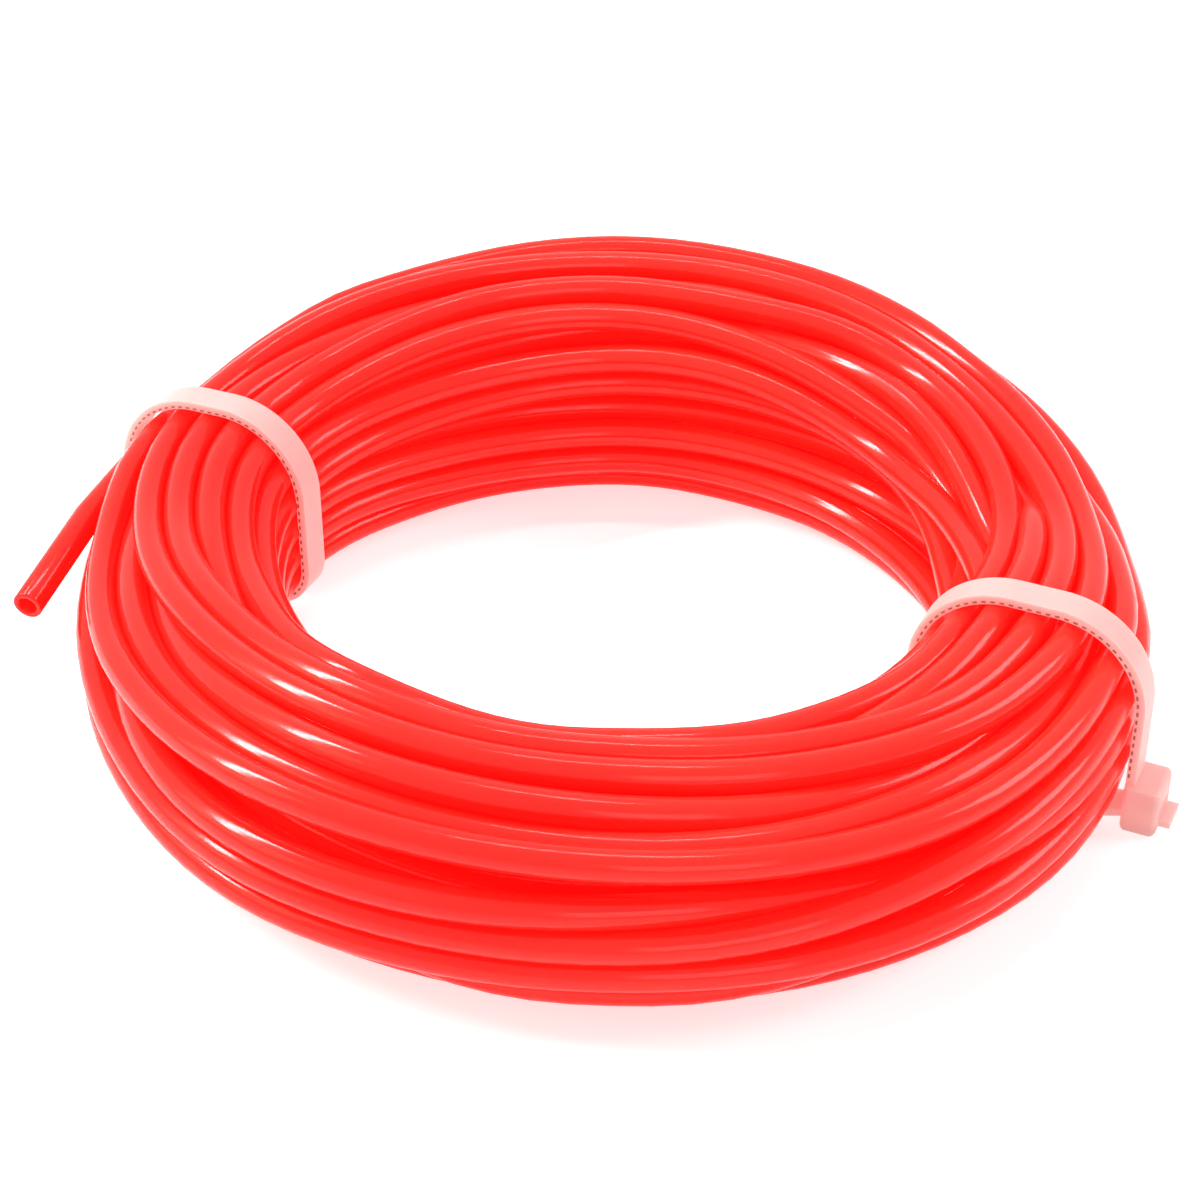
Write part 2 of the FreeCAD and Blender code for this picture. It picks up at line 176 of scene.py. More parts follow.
@dataclass(frozen=True)
class PolyurethaneFinish:
    """Glossy, slightly translucent coloured hose, with red emission that is painted light, lifting
    the shade in the gaps between its turns.
    """

    grain: bpy.types.NodeTree
    deep: tuple = (0.82, 0.010, 0.010)
    bright: tuple = (0.88, 0.040, 0.021)
    # painted light: the red emission below stands in for light passing through the hose and lifts
    # its shaded gaps
    painted_glow: tuple = (0.95, 0.008, 0.008)
    painted_glow_strength: float = 0.30
    roughness: float = 0.13
    mirror: float = 0.22
    ior: float = 1.5
    depth_share: float = 0.35
    depth_colour: tuple = (1.0, 0.22, 0.12)
    depth: float = 0.004
    blotch_scale: float = 22.0
    grain_scale: float = 1400.0
    bump: float = 0.05

    def build(self) -> bpy.types.Material:
        """Makes the hose material.

        Returns:
            The material.
        """
        material, shader = new_material("polyurethane_red")
        tree = material.node_tree
        grain = add_grain(tree, self.grain, self.blotch_scale, self.grain_scale, self.bump)
        colour = mix_colours(tree, grain.outputs["Blotch"], self.deep, self.bright)
        tree.links.new(colour, shader.inputs["Base Color"])
        tree.links.new(grain.outputs["Normal"], shader.inputs["Normal"])
        set_inputs(shader, {
            "Roughness": self.roughness, "IOR": self.ior,
            "Subsurface Weight": self.depth_share, "Subsurface Radius": self.depth_colour,
            "Subsurface Scale": self.depth, "Specular IOR Level": self.mirror,
            "Emission Color": (*self.painted_glow, 1.0), "Emission Strength": self.painted_glow_strength})
        return material


@dataclass(frozen=True)
class NaturalNylonFinish:
    """Satin, milky nylon of a cable tie, faintly tinted by the hose under it, with pinkish
    emission that is painted light, lightening its less-lit faces.
    """

    grain: bpy.types.NodeTree
    milky: tuple = (0.80, 0.45, 0.43)
    warm: tuple = (0.82, 0.39, 0.37)
    # painted light: the pinkish emission below brightens the tie's less-lit faces
    painted_glow: tuple = (0.90, 0.62, 0.58)
    painted_glow_strength: float = 0.25
    roughness: float = 0.38
    mirror: float = 0.3
    depth_share: float = 0.8
    depth_colour: tuple = (1.0, 0.7, 0.6)
    depth: float = 0.004
    blotch_scale: float = 70.0
    grain_scale: float = 2200.0
    bump: float = 0.15

    def build(self) -> bpy.types.Material:
        """Makes the tie material.

        Returns:
            The material.
        """
        material, shader = new_material("natural_nylon")
        tree = material.node_tree
        grain = add_grain(tree, self.grain, self.blotch_scale, self.grain_scale, self.bump)
        colour = mix_colours(tree, grain.outputs["Blotch"], self.milky, self.warm)
        tree.links.new(colour, shader.inputs["Base Color"])
        tree.links.new(grain.outputs["Normal"], shader.inputs["Normal"])
        set_inputs(shader, {
            "Roughness": self.roughness, "Subsurface Weight": self.depth_share,
            "Subsurface Radius": self.depth_colour, "Subsurface Scale": self.depth,
            "Specular IOR Level": self.mirror, "Emission Color": (*self.painted_glow, 1.0),
            "Emission Strength": self.painted_glow_strength})
        return material


# ---------------------------------------------------------------- the wound hose

@dataclass(frozen=True)
class Station:
    """Outline of the ring at one bearing, in millimetres and degrees."""

    bearing: float
    inner: float
    outer: float
    low: float
    high: float
    low_corner: float
    high_corner: float

    def sizes(self) -> np.ndarray:
        """The outline's sizes without the bearing.

        Returns:
            Inner and outer radius, low and high edge, low and high corner.
        """
        return np.array([self.inner, self.outer, self.low, self.high,
                         self.low_corner, self.high_corner])


@dataclass
class HoseCoil:
    """The hose: two bare ends and all the turns between them, as one line."""

    diameter: float = 4.0
    bore: float = 2.5
    centre: tuple = RING_CENTRE
    turns: int = 34
    per_turn: int = 48
    first_bearing: float = 135.0
    last_bearing: float = 142.5
    seed: int = 2
    wander: float = 3.2
    columns: int = 6
    lift: float = 0.12
    rounds: int = 420
    stiffness: int = 6
    sides: int = 22
    bore_depth: float = 7.0
    lip: float = 0.18
    span_low: float = -0.5
    tie_low: float = 1.4
    tie_corners: tuple = (5.0, 11.0)
    tie_reach: float = 3.5
    pull: float = 0.06
    last_pull: float = 0.02
    last_rounds: float = 0.8
    pushes: int = 3
    push: float = 0.42
    guest_push: float = 0.9
    evening: float = 0.05
    contact: float = 1.02
    tie_spread: float = 0.16
    loose_from: float = 4.0
    loose_over: float = 40.0
    tight_until: float = 18.0
    tight_over: float = 14.0
    tall_from: float = 29.0
    tall_over: float = 5.0
    start_route: tuple = ((-38.5, 56.0, 7.5), (-20.0, 70.4, 3.2), (0.6, 78.6, 2.0),
                          (22.6, 81.0, 2.0))
    free_route: tuple = ((-61.9, 32.2, 20.6), (-70.8, 13.4, 18.9), (-76.2, -6.6, 15.2))
    ties: tuple = (LEFT_TIE, (RIGHT_TIE[0] + FULL_TURN, *RIGHT_TIE[1:]))
    spans: tuple = (
        (0.0, 43.0, 68.8, 26.4, 9.0, 12.3), (30.0, 42.4, 70.6, 29.6, 8.5, 12.6),
        (60.0, 42.8, 74.4, 32.9, 9.0, 11.6), (90.0, 44.4, 74.3, 34.6, 9.5, 11.4),
        (125.0, 44.5, 71.5, 34.0, 9.5, 12.4), (180.0, 42.5, 70.5, 25.8, 9.2, 12.0),
        (205.0, 41.9, 69.8, 26.8, 9.2, 11.2), (235.0, 41.4, 71.5, 27.9, 10.8, 10.8),
        (265.0, 41.8, 71.5, 27.4, 10.5, 11.0), (295.0, 42.1, 72.6, 26.4, 9.8, 11.2),
        (318.0, 41.8, 72.0, 25.8, 9.2, 11.4),
    )
    piece: bpy.types.Object = field(default=None, init=False)
    path: list = field(default=None, init=False)
    length: float = field(default=0.0, init=False)

    def stations(self) -> list[Station]:
        """The ring's outlines in order of bearing, with two for each tie.

        Returns:
            The outlines.
        """
        found = [Station(bearing, inner, outer, self.span_low, high, low_corner, high_corner)
                 for bearing, inner, outer, high, low_corner, high_corner in self.spans]
        for bearing, reach, width, high in self.ties:
            for turn in (-self.tie_reach, self.tie_reach):
                found.append(Station((bearing + turn) % 360, reach - width / 2,
                                     reach + width / 2, self.tie_low, high, *self.tie_corners))
        return sorted(found, key=lambda station: station.bearing)

    def sections(self, bearings: np.ndarray) -> np.ndarray:
        """The outline's sizes at many bearings, eased from station to station.

        Args:
            bearings: Bearings in degrees.

        Returns:
            One row of sizes for each bearing.
        """
        stations = self.stations()
        rows = []
        for bearing in bearings % 360:
            for i, here in enumerate(stations):
                after = stations[(i + 1) % len(stations)]
                span = (after.bearing - here.bearing) % 360
                gone = (bearing - here.bearing) % 360
                if gone <= span:
                    ease = (1 - math.cos(math.pi * gone / span)) / 2
                    rows.append(here.sizes() * (1 - ease) + after.sizes() * ease)
                    break
        return np.array(rows)

    def keep_inside(self, spots: np.ndarray, sections: np.ndarray) -> np.ndarray:
        """Moves centres that are too near the outline back inside it.

        Args:
            spots: Radius and height of each centre, shaped (..., bearings, 2).
            sections: The outline's sizes at each bearing.

        Returns:
            The centres, each at least a hose radius inside the outline and above the bench.
        """
        r = self.diameter / 2
        inner, outer, low, high, low_corner, high_corner = sections.T
        x = np.clip(spots[..., 0], inner + r, outer - r)
        z = np.clip(spots[..., 1], np.maximum(low + r, r), high - r)
        for corner, up in ((low_corner, False), (high_corner, True)):
            height = high - corner if up else low + corner
            for edge, side in ((inner + corner, -1), (outer - corner, 1)):
                dx, dz = (x - edge) * side, (z - height) * (1 if up else -1)
                reach = np.hypot(dx, dz)
                out = (dx > 0) & (dz > 0) & (reach > corner - r)
                pull = np.where(out, (corner - r) / np.maximum(reach, 1e-6), 1.0)
                x = np.where(out, edge + dx * pull * side, x)
                z = np.where(out, height + dz * pull * (1 if up else -1), z)
        return np.stack([x, np.maximum(z, r)], axis=-1)

    def guests(self, bearings: np.ndarray) -> np.ndarray:
        """Where the two bare ends lie at each bearing.

        Args:
            bearings: Bearings in degrees.

        Returns:
            Radius and height of each end, and a far radius at bearings that it doesn't reach.
        """
        rows = []
        for route in (self.start_route, self.free_route):
            angles = [math.degrees(math.atan2(y, x)) % 360 for x, y, _ in route]
            order = np.argsort(angles)
            angle = np.array(angles)[order]
            reach = np.array([math.hypot(x, y) for x, y, _ in route])[order]
            height = np.array([z for _, _, z in route])[order]
            here = (bearings >= angle[0]) & (bearings <= angle[-1])
            rows.append(np.stack([np.where(here, np.interp(bearings, angle, reach), FAR_AWAY),
                                  np.interp(bearings, angle, height)], axis=-1))
        return np.array(rows)

    def slots(self, count: int) -> np.ndarray:
        """Where each turn would lie in a neatly filled section.

        Args:
            count: The number of turns.

        Returns:
            Two shares from 0 to 1 for each turn: across the section, and up it.
        """
        rows = math.ceil(count / self.columns)
        found = []
        for turn in range(count):
            row, column = divmod(turn, self.columns)
            across = (column + 0.5) / self.columns
            found.append((across if row % 2 else 1 - across, (row + 0.5) / rows))
        return np.array(found)

    def turns_line(self) -> np.ndarray:
        """The centre line of the turns, pushed apart inside the ring's outline.

        Returns:
            Points in millimetres about the ring's centre, in order along the hose.
        """
        step = 360 / self.per_turn
        first = round(self.first_bearing / step)
        extra = round((self.last_bearing - self.first_bearing) / step)
        count = self.turns * self.per_turn + extra + 1
        places = first + np.arange(count)
        loops = places // self.per_turn
        wheel = places % self.per_turn
        total = int(loops.max()) + 1
        bearings = np.arange(self.per_turn) * step
        sections = self.sections(bearings)
        guests = self.guests(bearings)
        held = np.min([np.abs((bearings - tie[0] + 180) % 360 - 180) for tie in self.ties], axis=0)
        loose = np.clip((held - self.loose_from) / self.loose_over, 0, 1)
        tight = np.clip((self.tight_until - held) / self.tight_over, 0, 1)
        tall = np.clip((sections[:, 3] - self.tall_from) / self.tall_over, 0, 1)
        spacing = self.diameter * (self.contact + self.tie_spread * tight + self.lift * tall)

        chance = np.random.default_rng(self.seed)
        knots = np.arange(0, count + 3 * self.per_turn, self.per_turn // 3)
        drift = np.stack([np.interp(np.arange(count), knots, chance.normal(0, 1, len(knots)))
                          for _ in range(2)], axis=-1)
        shares = self.slots(total)[loops]
        wide = sections[wheel]
        target = np.stack([wide[:, 0] + (wide[:, 1] - wide[:, 0]) * shares[:, 0],
                           np.maximum(wide[:, 2], 0) + wide[:, 3] * shares[:, 1]], axis=-1)
        target += drift * self.wander * loose[wheel][:, None]
        line = target.copy()
        ends = [np.array([math.hypot(*route[0][:2]), route[0][2]])
                for route in (self.start_route, self.free_route)]
        grid = np.full((total, self.per_turn, 2), PARKED)
        grid[..., 1] = PARKING_STEP * np.arange(total)[:, None]
        for i in range(self.rounds):
            late = i / self.rounds
            line += (target - line) * (self.pull if late < self.last_rounds else self.last_pull)
            for _ in range(self.stiffness):
                line = self.straighten(line, ends)
            for _ in range(self.pushes):
                grid[loops, wheel] = line
                grid = self.push_apart(grid, guests, spacing)
                line = grid[loops, wheel]
                line = self.keep_inside(line, sections[wheel])
        turn = np.radians(wheel * step)
        return np.stack([line[:, 0] * np.cos(turn), line[:, 0] * np.sin(turn), line[:, 1]],
                        axis=-1)

    def straighten(self, line: np.ndarray, ends: list[np.ndarray]) -> np.ndarray:
        """Evens out sharp bends of the line, and leaves its long sweeps as they are.

        Args:
            line: Radius and height along the hose.
            ends: Radius and height where each bare end begins.

        Returns:
            The evened line.
        """
        chain = np.vstack([ends[0], ends[0], line, ends[1], ends[1]])
        bend = chain[:-2] - 2 * chain[1:-1] + chain[2:]
        return line - self.evening * (bend[:-2] - 2 * bend[1:-1] + bend[2:])

    def push_apart(self, grid: np.ndarray, guests: np.ndarray, spacing: np.ndarray
                   ) -> np.ndarray:
        """Moves turns that crowd each other at a bearing apart, and away from the bare ends.

        Args:
            grid: Radius and height of each turn at each bearing.
            guests: The same for the two bare ends.
            spacing: The distance wanted between centres at each bearing.

        Returns:
            The moved turns.
        """
        gap = grid[:, None] - grid[None]
        apart = np.hypot(gap[..., 0], gap[..., 1])
        near = (apart < spacing) & (apart > TINY)
        push = np.where(near, (spacing - apart) / np.maximum(apart, LEAST_GAP), 0.0)
        moved = grid + (gap * push[..., None]).sum(axis=1) * self.push
        for guest in guests:
            gap = moved - guest[None]
            apart = np.hypot(gap[..., 0], gap[..., 1])
            over = (self.diameter - apart) / np.maximum(apart, LEAST_GAP)
            push = np.where(apart < self.diameter, over, 0)
            moved = moved + gap * push[..., None] * self.guest_push
        return moved

    def control_points(self) -> list[Vector]:
        """Every control point of the hose's line, from the hidden end to the free end.

        Returns:
            The points, in metres.
        """
        rows = [*reversed(self.start_route), *self.turns_line(), *self.free_route]
        return [Vector((x + self.centre[0], y + self.centre[1], z)) * MM for x, y, z in rows]

    def centre_line(self) -> list[Vector]:
        """Points read along the hose's smooth line.

        Returns:
            The points, in metres.
        """
        points = self.control_points()
        curve = bpy.data.curves.new("hose_line", "CURVE")
        curve.dimensions = "3D"
        curve.resolution_u = 2
        spline = curve.splines.new("NURBS")
        spline.points.add(len(points) - 1)
        for spot, point in zip(spline.points, points):
            spot.co = (*point, 1.0)
        spline.order_u = 3
        spline.use_endpoint_u = True
        holder = bpy.data.objects.new("hose_line", curve)
        bpy.context.scene.collection.objects.link(holder)
        mesh = bpy.data.meshes.new_from_object(holder)
        line = [vertex.co.copy() for vertex in mesh.vertices]
        bpy.data.objects.remove(holder)
        bpy.data.meshes.remove(mesh)
        return line

    def profile(self, line: list[Vector]) -> list[tuple[int, float, float]]:
        """Rings of the tube: index along the line, step back along it, and radius.

        Args:
            line: Points along the hose's centre.

        Returns:
            One entry for each ring, from the bottom of one bore to the bottom of the other.
        """
        out, into, lip = self.diameter / 2 * MM, self.bore / 2 * MM, self.lip * MM
        mouth = [(self.bore_depth * MM, into * 0.98), (lip, into), (0.0, into + lip),
                 (0.0, out - lip), (lip * 0.4, out - lip * 0.3), (lip * 1.2, out)]
        rings = [(0, back, radius) for back, radius in mouth]
        rings += [(i, 0.0, out) for i in range(1, len(line) - 1)]
        rings += [(len(line) - 1, -back, radius) for back, radius in reversed(mouth)]
        return rings

    def build(self) -> bpy.types.Object:
        """Sweeps the tube along its line.

        Returns:
            The hose as one closed mesh object.
        """
        line = self.centre_line()
        along = [(line[min(i + 1, len(line) - 1)] - line[max(i - 1, 0)]).normalized()
                 for i in range(len(line))]
        side = along[0].cross(Vector((0, 0, 1))).normalized()
        frames = []
        for way in along:
            side = (side - way * side.dot(way)).normalized()
            frames.append((side.copy(), way.cross(side)))
        spots, lengths = [], []
        steps = [(b - a).length for a, b in zip(line, line[1:])]
        walked = np.concatenate([[0.0], np.cumsum(steps)])
        for index, back, radius in self.profile(line):
            across, up = frames[index]
            middle = line[index] + along[index] * back
            lengths.append(float(walked[index]) + back)
            for i in range(self.sides):
                turn = 2 * math.pi * i / self.sides
                spots.append(middle + (across * math.cos(turn) + up * math.sin(turn)) * radius)
        rings = len(lengths)
        faces = []
        for ring in range(rings - 1):
            for i in range(self.sides):
                a, b = ring * self.sides + i, ring * self.sides + (i + 1) % self.sides
                faces.append((a, b, b + self.sides, a + self.sides))
        faces.append(tuple(reversed(range(self.sides))))
        faces.append(tuple((rings - 1) * self.sides + i for i in range(self.sides)))
        mesh = bpy.data.meshes.new("hose")
        mesh.from_pydata(spots, [], faces)
        mesh.validate()
        mesh.shade_smooth()
        self.add_uv(mesh, lengths)
        self.piece = bpy.data.objects.new("hose", mesh)
        bpy.context.scene.collection.objects.link(self.piece)
        self.path = line
        self.length = float(walked[-1])
        LOG.info("hose: %.2f m in %d rings", self.length, rings)
        return self.piece

    def add_uv(self, mesh: bpy.types.Mesh, lengths: list[float]) -> None:
        """Gives the tube a map: length along the hose in metres, and share of the way round.

        Args:
            mesh: The tube's mesh.
            lengths: The distance along the hose of each ring.
        """
        layer = mesh.uv_layers.new(name="hose_uv")
        sides = self.sides
        loops = np.empty(len(mesh.loops), dtype=np.int64)
        mesh.loops.foreach_get("vertex_index", loops)
        ring, spot = loops // sides, loops % sides
        share = spot / sides
        starts = np.empty(len(mesh.polygons), dtype=np.int64)
        mesh.polygons.foreach_get("loop_start", starts)
        totals = np.empty(len(mesh.polygons), dtype=np.int64)
        mesh.polygons.foreach_get("loop_total", totals)
        for offset in range(4):
            corner = starts[totals == 4] + offset
            wrap = (spot[starts[totals == 4]] == sides - 1) & (spot[corner] == 0)
            share[corner[wrap]] = 1.0
        pairs = np.stack([np.array(lengths)[ring], share], axis=-1)
        layer.data.foreach_set("uv", pairs.astype(np.float32).ravel())

    def finish(self, material: bpy.types.Material) -> None:
        """Dresses the hose and tells the frame what it is.

        Args:
            material: The hose's finish.
        """
        self.piece.data.materials.append(material)
        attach(self.piece, "coil")
        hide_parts("hose_coil", "hose_free_end", "hose_start_end")


# ---------------------------------------------------------------- the cable ties

@dataclass(frozen=True)
class PaintedToothShade:
    """Painted shade: a dark colour for the shaded valleys between a strap's teeth, seen dimly
    through the nylon at its edge.
    """

    grain: bpy.types.NodeTree
    # painted shade: both colours are the dark of the shaded tooth valleys, blended by blotches
    shade: tuple = (0.34, 0.12, 0.10)
    pale_shade: tuple = (0.52, 0.22, 0.20)
    roughness: float = 0.6
    blotch_scale: float = 400.0
    grain_scale: float = 900.0
    bump: float = 0.1

    def build(self) -> bpy.types.Material:
        """Makes the painted-shade material of the tooth row.

        Returns:
            The material.
        """
        material, shader = new_material("tooth_shade")
        tree = material.node_tree
        grain = add_grain(tree, self.grain, self.blotch_scale, self.grain_scale, self.bump)
        colour = mix_colours(tree, grain.outputs["Blotch"], self.shade, self.pale_shade)
        tree.links.new(colour, shader.inputs["Base Color"])
        shader.inputs["Roughness"].default_value = self.roughness
        return material


def tooth_row_tree(material: bpy.types.Material) -> bpy.types.NodeTree:
    """A Geometry Nodes tree that sets one small block at every pitch along a line of edges.

    Args:
        material: The painted-shade material of the blocks.

    Returns:
        The tree, with named inputs for the pitch and the block's size.
    """
    tree = bpy.data.node_groups.new("tooth_row", "GeometryNodeTree")
    face = tree.interface
    face.new_socket("Geometry", in_out="INPUT", socket_type="NodeSocketGeometry")
    for name in ("Pitch", "Tooth Length", "Strap Width", "Tooth Height"):
        face.new_socket(name, in_out="INPUT", socket_type="NodeSocketFloat")
    face.new_socket("Geometry", in_out="OUTPUT", socket_type="NodeSocketGeometry")
    kinds = {"given": "NodeGroupInput", "result": "NodeGroupOutput",
             "curve": "GeometryNodeMeshToCurve",
             "spread": "GeometryNodeResampleCurve", "tangent": "GeometryNodeInputTangent",
             "turn": "FunctionNodeAlignRotationToVector", "size": "ShaderNodeCombineXYZ",
             "block": "GeometryNodeMeshCube", "place": "GeometryNodeInstanceOnPoints",
             "real": "GeometryNodeRealizeInstances", "dress": "GeometryNodeSetMaterial"}
    node = {name: tree.nodes.new(kind) for name, kind in kinds.items()}
    node["spread"].mode = "LENGTH"
    node["turn"].axis, node["turn"].pivot_axis = "X", "Y"
    node["dress"].inputs["Material"].default_value = material
    for source, out, sink, into in (
            ("given", "Geometry", "curve", "Mesh"), ("curve", "Curve", "spread", "Curve"),
            ("given", "Pitch", "spread", "Length"), ("tangent", "Tangent", "turn", "Vector"),
            ("given", "Tooth Length", "size", "X"), ("given", "Strap Width", "size", "Y"),
            ("given", "Tooth Height", "size", "Z"), ("size", "Vector", "block", "Size"),
            ("spread", "Curve", "place", "Points"), ("block", "Mesh", "place", "Instance"),
            ("turn", "Rotation", "place", "Rotation"), ("place", "Instances", "real", "Geometry"),
            ("real", "Geometry", "dress", "Geometry"),
            ("dress", "Geometry", "result", "Geometry")):
        tree.links.new(node[source].outputs[out], node[sink].inputs[into])
    return tree


@dataclass
class CableTie:
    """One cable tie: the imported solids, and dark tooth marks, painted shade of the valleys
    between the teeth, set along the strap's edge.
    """

    side: str
    bearing: float
    reach: float
    width: float
    top: float
    strap_width: float = 4.5
    strap_thick: float = 1.2
    gap: float = 0.2
    low_corner: float = 5.0
    high_corner: float = 11.0
    head_height: float = 6.4
    pitch: float = 1.15
    tooth_length: float = 0.58
    tooth_height: float = 0.26
    tooth_proud: float = 0.06
    inset: float = 0.28
    head_clear: float = 1.2
    tail_clear: float = 2.0
    arc_steps: int = 12

    def strap_line(self) -> list[Vector]:
        """Points along the strap, just outside its inner face, from above the head round to it.

        Returns:
            Points in the tie's own frame, in metres: x out of the ring, z up from the bench.
        """
        inset = self.inset
        half, high = self.width / 2 + self.gap + inset, self.top + self.gap + inset
        low, r0, r1 = self.strap_thick - inset, self.low_corner, self.high_corner + inset
        line = [(half, self.head_height + self.head_clear)]
        for x, z, radius, start, end in ((half - r1, high - r1, r1, 0, 90),
                                         (r1 - half, high - r1, r1, 90, 180),
                                         (r0 - half, low + r0, r0, 180, 270)):
            for i in range(self.arc_steps + 1):
                angle = math.radians(start + (end - start) * i / self.arc_steps)
                line.append((x + radius * math.cos(angle), z + radius * math.sin(angle)))
        line.append((half - r0 - self.tail_clear, low))
        return [Vector((x, 0.0, z)) * MM for x, z in line]

    def build_valley_shade(self, tree: bpy.types.NodeTree) -> bpy.types.Object:
        """Sets the dark tooth marks, painted shade of the tooth valleys, along the strap.

        Args:
            tree: The Geometry Nodes tree that repeats the block.

        Returns:
            The tooth row as one plain mesh, in place.
        """
        points = self.strap_line()
        guide = bpy.data.meshes.new("strap_line")
        guide.from_pydata(points, [(i, i + 1) for i in range(len(points) - 1)], [])
        holder = bpy.data.objects.new("strap_line", guide)
        bpy.context.scene.collection.objects.link(holder)
        modifier = holder.modifiers.new("teeth", "NODES")
        modifier.node_group = tree
        sizes = {"Pitch": self.pitch * MM, "Tooth Length": self.tooth_length * MM,
                 "Strap Width": (self.strap_width + self.tooth_proud) * MM,
                 "Tooth Height": self.tooth_height * MM}
        for item in tree.interface.items_tree:
            if item.in_out == "INPUT" and item.name in sizes:
                modifier[item.identifier] = sizes[item.name]
        shown = holder.evaluated_get(bpy.context.evaluated_depsgraph_get())
        mesh = bpy.data.meshes.new_from_object(shown)
        holder.modifiers.remove(modifier)
        bpy.data.objects.remove(holder)
        bpy.data.meshes.remove(guide)
        angle = math.radians(self.bearing)
        foot = Vector((RING_CENTRE[0] + self.reach * math.cos(angle),
                       RING_CENTRE[1] + self.reach * math.sin(angle), 0.0)) * MM
        mesh.transform(Matrix.Translation(foot) @ Matrix.Rotation(angle, 4, "Z"))
        # the dark tooth row is painted shade of the valleys between the strap's teeth
        teeth = bpy.data.objects.new(f"{self.side}_tie_valley_shade", mesh)
        bpy.context.scene.collection.objects.link(teeth)
        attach(teeth, "coil")
        LOG.info("%s: %d faces", teeth.name, len(mesh.polygons))
        return teeth

    def finish(self, material: bpy.types.Material) -> None:
        """Dresses the strap, the head and the pawl.

        Args:
            material: The nylon finish.
        """
        for name in (f"{self.side}_tie", f"{self.side}_tie_pawl"):
            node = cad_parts[name]
            node.data.materials.clear()
            node.data.materials.append(material)
            LOG.info("%s: natural nylon", name)


# ---------------------------------------------------------------- the studio

@dataclass(frozen=True)
class Softbox:
    """A rectangular lamp aimed at the middle of the coil, with its long side along a lean."""

    name: str
    place: tuple
    size: tuple
    watts: float
    colour: tuple = (1.0, 1.0, 1.0)
    lean: tuple = (0.0, 0.0, 1.0)
    target: tuple = (0.0, 0.0, 0.012)

    def build(self) -> None:
        """Adds the lamp to the scene."""
        lamp = bpy.data.lights.new(self.name, "AREA")
        lamp.shape = "RECTANGLE"
        lamp.size, lamp.size_y = self.size
        lamp.energy = self.watts
        lamp.color = self.colour
        holder = bpy.data.objects.new(self.name, lamp)
        holder.location = self.place
        back = (Vector(self.place) - Vector(self.target)).normalized()
        long = Vector(self.lean)
        long = (long - back * long.dot(back)).normalized()
        holder.rotation_euler = Matrix((long.cross(back), long, back)).transposed().to_euler()
        bpy.context.scene.collection.objects.link(holder)


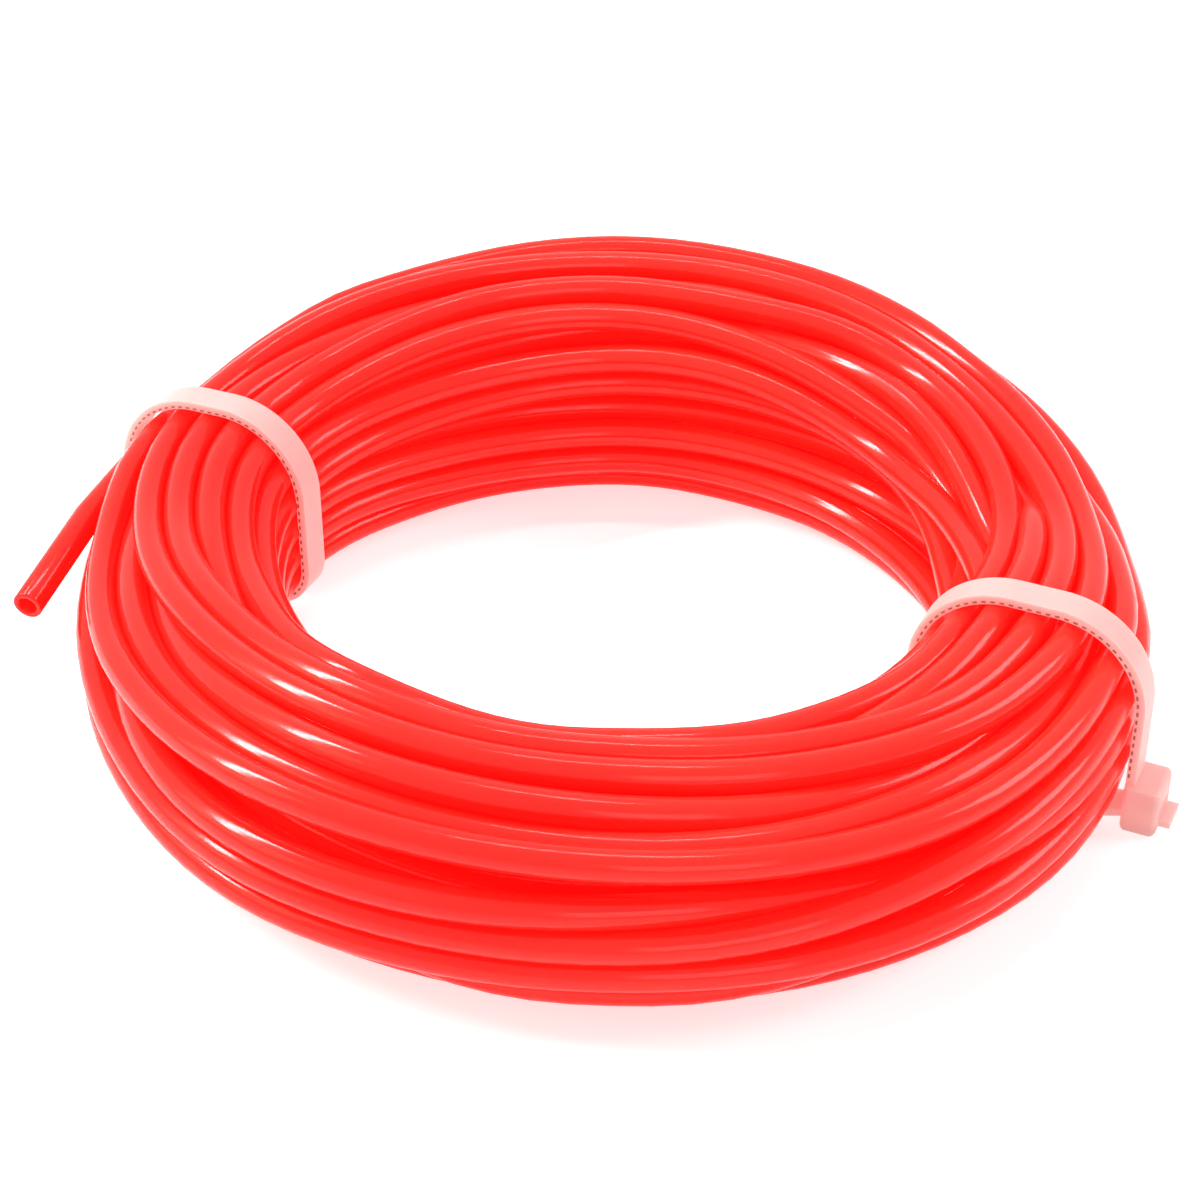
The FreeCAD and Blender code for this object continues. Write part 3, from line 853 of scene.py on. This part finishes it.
@dataclass
class Studio:
    """White surroundings, soft lamps and the camera."""

    ring: tuple = RING_CENTRE
    elevation: float = 33.0
    distance: float = 0.334
    focal: float = 75.84
    aim: tuple = (-1.85, -1.53)
    sensor: float = 36.0
    near: float = 0.01
    middle_height: float = 0.014
    plain_light: float = 0.24
    white_light: float = 1.0
    floor_reach: float = 3.0
    floor_height: float = -0.0004
    floor_colour: tuple = (0.86, 0.86, 0.86)
    floor_roughness: float = 0.9
    floor_glow: float = 0.62
    softboxes: tuple = (
        Softbox("left_strip", (-0.67, 0.17, 0.72), (0.09, 0.62), 10.0, lean=(0.5, 0.5, 0.42)),
        Softbox("left_panel", (-0.90, -0.10, 0.50), (0.6, 0.5), 2.0, (1.0, 0.80, 0.50)),
        Softbox("right_panel", (0.90, 0.05, 0.60), (0.4, 0.4), 3.8),
        Softbox("overhead_strip", (0.0, 0.22, 1.08), (0.4, 0.04), 2.0, lean=(0.0, 1.0, 0.0)),
        Softbox("front_panel", (0.25, -0.95, 0.45), (0.5, 0.5), 1.6),
    )

    def background(self) -> None:
        """White for the camera and for reflections, plain light for everything else."""
        world = bpy.data.worlds.new("studio")
        bpy.context.scene.world = world
        world.use_nodes = True
        tree = world.node_tree
        tree.nodes.clear()
        output = tree.nodes.new("ShaderNodeOutputWorld")
        plain, white = (tree.nodes.new("ShaderNodeBackground") for _ in range(2))
        plain.inputs["Color"].default_value = (1, 1, 1, 1)
        plain.inputs["Strength"].default_value = self.plain_light
        white.inputs["Color"].default_value = (1, 1, 1, 1)
        white.inputs["Strength"].default_value = self.white_light
        seen = tree.nodes.new("ShaderNodeMixShader")
        tree.links.new(self.seen_rays(tree), seen.inputs["Fac"])
        tree.links.new(plain.outputs["Background"], seen.inputs[1])
        tree.links.new(white.outputs["Background"], seen.inputs[2])
        tree.links.new(seen.outputs["Shader"], output.inputs["Surface"])

    def seen_rays(self, tree: bpy.types.NodeTree) -> bpy.types.NodeSocket:
        """Tells rays that show the surroundings from rays that only light the part.

        Args:
            tree: The node tree that gets the nodes.

        Returns:
            A socket that is 1 for rays seen straight, mirrored or through something clear.
        """
        rays = tree.nodes.new("ShaderNodeLightPath")
        share = rays.outputs["Is Camera Ray"]
        for kind in ("Is Glossy Ray", "Is Transmission Ray"):
            either = tree.nodes.new("ShaderNodeMath")
            either.operation = "MAXIMUM"
            tree.links.new(share, either.inputs[0])
            tree.links.new(rays.outputs[kind], either.inputs[1])
            share = either.outputs["Value"]
        return share

    def floor(self) -> None:
        """A wide white floor that stays white where nothing shades it."""
        mesh = bpy.data.meshes.new("floor")
        reach, height = self.floor_reach, self.floor_height
        mesh.from_pydata([(-reach, -reach, height), (reach, -reach, height),
                          (reach, reach, height), (-reach, reach, height)], [], [(0, 1, 2, 3)])
        floor = bpy.data.objects.new("floor", mesh)
        bpy.context.scene.collection.objects.link(floor)
        material, shader = new_material("white_floor")
        tree = material.node_tree
        set_inputs(shader, {"Base Color": (*self.floor_colour, 1), "Specular IOR Level": 0.0,
                            "Roughness": self.floor_roughness,
                            "Emission Color": (1, 1, 1, 1)})
        level = tree.nodes.new("ShaderNodeMath")
        level.operation = "MULTIPLY"
        level.inputs[1].default_value = self.floor_glow
        tree.links.new(self.seen_rays(tree), level.inputs[0])
        tree.links.new(level.outputs["Value"], shader.inputs["Emission Strength"])
        mesh.materials.append(material)

    def camera(self) -> None:
        """The camera, a third of a metre away and well above the bench."""
        tilt = math.radians(self.elevation)
        ahead = Vector((0, math.cos(tilt), -math.sin(tilt)))
        up = Vector((0, math.sin(tilt), math.cos(tilt)))
        middle = Vector((self.ring[0] * MM, self.ring[1] * MM, self.middle_height))
        lens = bpy.data.cameras.new("camera")
        lens.lens = self.focal
        lens.sensor_width = self.sensor
        lens.clip_start = self.near
        holder = bpy.data.objects.new("camera", lens)
        holder.location = middle - ahead * self.distance
        aim = middle + Vector((1, 0, 0)) * self.aim[0] * MM + up * self.aim[1] * MM
        holder.rotation_euler = (aim - holder.location).to_track_quat("-Z", "Y").to_euler()
        bpy.context.scene.collection.objects.link(holder)
        bpy.context.scene.camera = holder

    def build(self) -> None:
        """Sets the whole studio up."""
        bpy.context.scene.view_settings.view_transform = "Standard"
        self.background()
        self.floor()
        for softbox in self.softboxes:
            softbox.build()
        self.camera()


def main() -> None:
    """Builds the hose, dresses the ties and sets up the studio."""
    logging.basicConfig(level=logging.INFO, format="%(message)s")
    Studio().build()
    grain = grain_group()
    hose = HoseCoil()
    hose.build()
    hose.finish(PolyurethaneFinish(grain).build())
    nylon = NaturalNylonFinish(grain).build()
    # the tooth row's dark material is painted shade of the tooth valleys
    teeth = tooth_row_tree(PaintedToothShade(grain).build())
    for tie in (CableTie("left", *LEFT_TIE), CableTie("right", *RIGHT_TIE)):
        tie.finish(nylon)
        tie.build_valley_shade(teeth)


if __name__ == "__main__":
    main()
